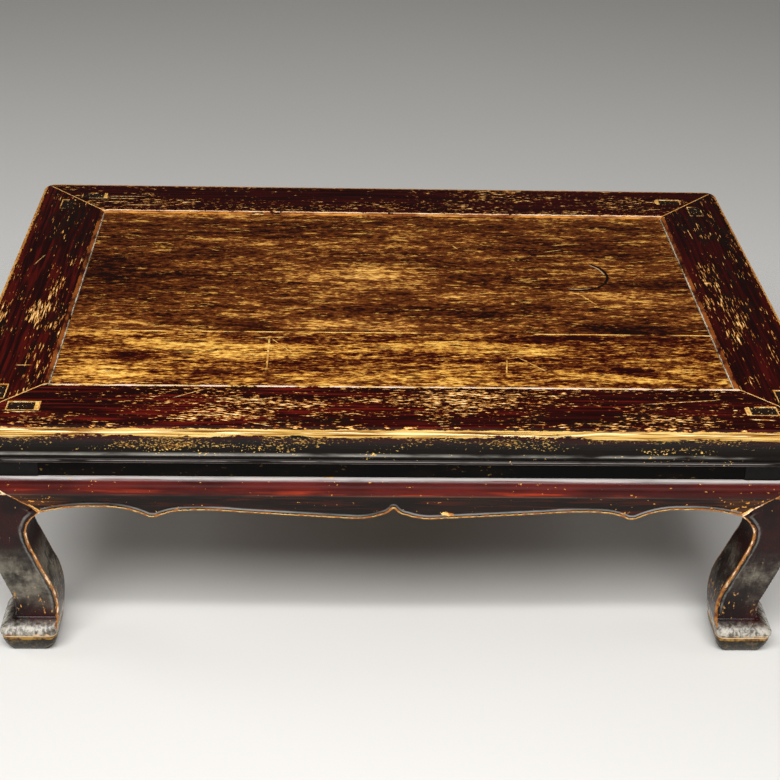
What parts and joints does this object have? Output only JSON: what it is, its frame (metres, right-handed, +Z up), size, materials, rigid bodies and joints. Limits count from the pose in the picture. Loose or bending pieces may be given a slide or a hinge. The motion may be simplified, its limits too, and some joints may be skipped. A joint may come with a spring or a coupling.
{
  "type": "kang table",
  "caption": "Low lacquered kang table: mitred frame top with a floating panel, recessed waist, cusped bulging aprons and cabriole legs.",
  "frame": {"origin": "on the floor under the centre of the top", "axes": "+X along the table to its right end, +Y to its back, +Z up; the front faces -Y"},
  "size_m": [0.92, 0.64, 0.315],
  "materials": {
    "rail_lacquer": "aged dark red lacquer, satin gloss, worn to bare wood at the edges",
    "panel_lacquer": "thin brown lacquer, worn through to golden softwood in streaks",
    "waist_lacquer": "near black lacquer, satin",
    "apron_lacquer": "dark red lacquer, glossy, worn at the ridge and lower edge",
    "leg_lacquer": "dark brown lacquer, satin, worn at the arrises",
    "bare_softwood": "old unlacquered softwood, matt",
    "bamboo": "plain bamboo, matt"
  },
  "bodies": {
    "root": {"front_rail": "rail_lacquer", "back_rail": "rail_lacquer", "left_end_rail": "rail_lacquer", "right_end_rail": "rail_lacquer", "front_board": "panel_lacquer", "rear_board": "panel_lacquer", "front_waist": "waist_lacquer", "back_waist": "waist_lacquer", "left_waist": "waist_lacquer", "right_waist": "waist_lacquer", "front_apron": "apron_lacquer", "back_apron": "apron_lacquer", "left_apron": "apron_lacquer", "right_apron": "apron_lacquer", "front_left_leg": "leg_lacquer", "front_right_leg": "leg_lacquer", "back_left_leg": "leg_lacquer", "back_right_leg": "leg_lacquer", "left_batten": "bare_softwood", "right_batten": "bare_softwood", "tenon_wedges": "bare_softwood", "board_pegs": "bamboo"}
  },
  "joints": []
}
